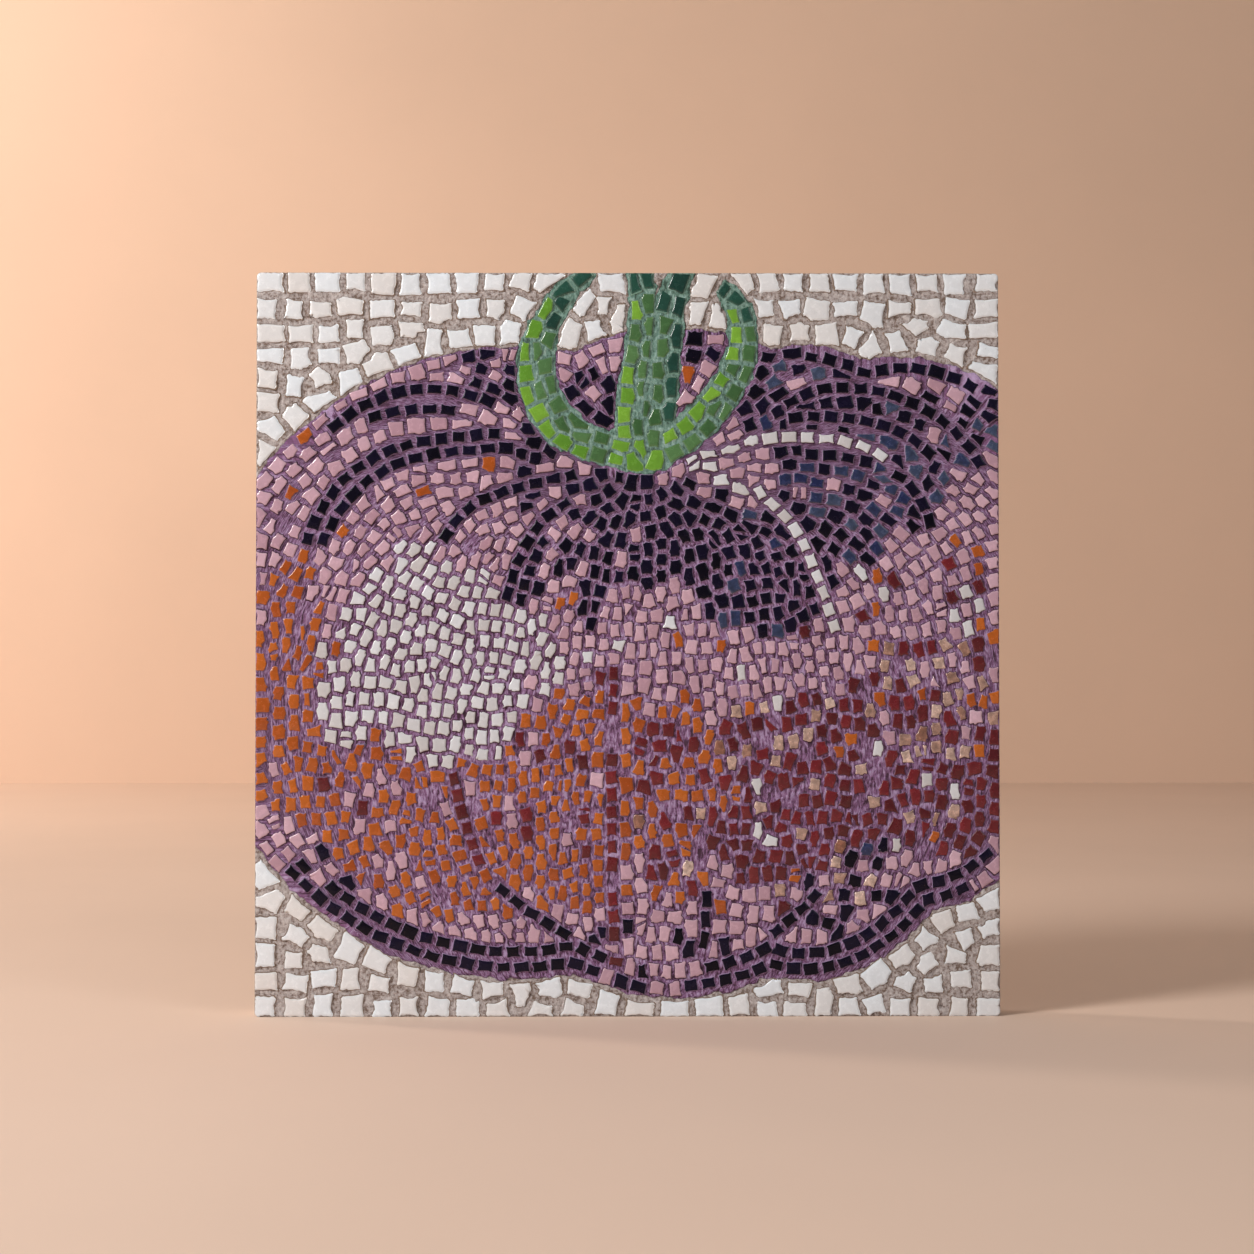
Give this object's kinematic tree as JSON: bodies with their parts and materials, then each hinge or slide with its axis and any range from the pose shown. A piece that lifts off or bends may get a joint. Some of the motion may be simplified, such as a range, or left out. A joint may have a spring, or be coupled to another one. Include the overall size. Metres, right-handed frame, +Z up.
{
  "type": "mosaic panel",
  "caption": "Square upright mosaic panel showing a deep-ribbed fruit with a green calyx, in hand-cut tiles and coloured grout on a rigid board.",
  "frame": {"origin": "middle of the underside, halfway through the thickness", "axes": "+Z up, +X to the viewer's right, the picture faces -Y"},
  "size_m": [0.4, 0.0232, 0.4],
  "materials": {
    "board": "skimmed board edges, matte",
    "pale_mosaic": "glazed white tiles in sandy grey grout",
    "fruit_mosaic": "purple grout, rough, with glazed tiles",
    "calyx_mosaic": "glossy green tiles in teal grout"
  },
  "bodies": {
    "root": {"backing_board": "board", "ground_bottom": "pale_mosaic", "ground_top_left": "pale_mosaic", "ground_gap_left": "pale_mosaic", "ground_gap_middle": "pale_mosaic", "ground_top_right": "pale_mosaic", "fruit": "fruit_mosaic", "fruit_gap_left": "fruit_mosaic", "fruit_gap_right": "fruit_mosaic", "calyx": "calyx_mosaic"}
  },
  "joints": []
}
